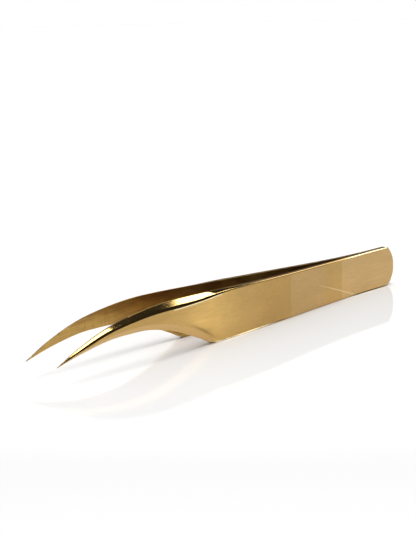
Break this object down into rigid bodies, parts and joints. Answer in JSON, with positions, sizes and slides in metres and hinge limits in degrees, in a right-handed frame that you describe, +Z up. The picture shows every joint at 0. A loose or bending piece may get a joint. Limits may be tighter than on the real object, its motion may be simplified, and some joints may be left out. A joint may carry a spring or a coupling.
{
  "type": "tweezers",
  "caption": "Curved needle-point tweezers: two gold-coated spring steel arms welded at a flat rounded tail, with a bevelled beak that arches down to fine tips.",
  "frame": {"origin": "on the floor, under the middle of the length, on the plane of symmetry between the arms", "axes": "+X from the tail to the tips, +Y towards the left arm, +Z up from the lower edges that the tweezers stand on"},
  "size_m": [0.118, 0.0112, 0.0116],
  "materials": {
    "gold_coated_steel": "gold-coloured coating, brushed along the blade, with polished edges",
    "weld_steel": "bare weld metal, hidden inside the tail"
  },
  "bodies": {
    "tail": {"left_tail": "gold_coated_steel", "right_tail": "gold_coated_steel", "rear_spot_weld": "weld_steel", "front_spot_weld": "weld_steel"},
    "left_arm": {"left_arm": "gold_coated_steel"},
    "right_arm": {"right_arm": "gold_coated_steel"}
  },
  "joints": [
    {"name": "left_arm_flex", "type": "hinge", "parent": "tail", "child": "left_arm", "pos_m": [-0.047, 0.0005, 0.0048], "axis": [0, 0, -1], "range_deg": [0, 2.33], "stiffness_Nm_per_rad": 2},
    {"name": "right_arm_flex", "type": "hinge", "parent": "tail", "child": "right_arm", "pos_m": [-0.047, -0.0005, 0.0048], "axis": [0, 0, 1], "range_deg": [0, 2.33], "stiffness_Nm_per_rad": 2}
  ]
}
